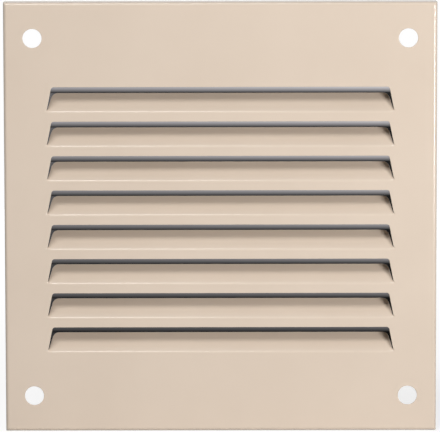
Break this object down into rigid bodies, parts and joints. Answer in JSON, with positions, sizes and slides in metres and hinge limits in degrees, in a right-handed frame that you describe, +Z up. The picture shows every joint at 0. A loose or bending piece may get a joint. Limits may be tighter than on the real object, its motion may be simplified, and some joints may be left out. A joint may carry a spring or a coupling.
{
  "type": "ventilation grille",
  "caption": "Square louvred ventilation grille pressed from one enamelled steel sheet, with a folded rim and corner screw holes.",
  "frame": {"origin": "centre of the four screw holes, in the plane of the front face", "axes": "+X to the right seen from the front, +Y from the front face into the wall, +Z up"},
  "size_m": [0.15, 0.007, 0.15],
  "materials": {
    "enamel": "satin"
  },
  "bodies": {
    "root": {"louvred_plate": "enamel"}
  },
  "joints": []
}
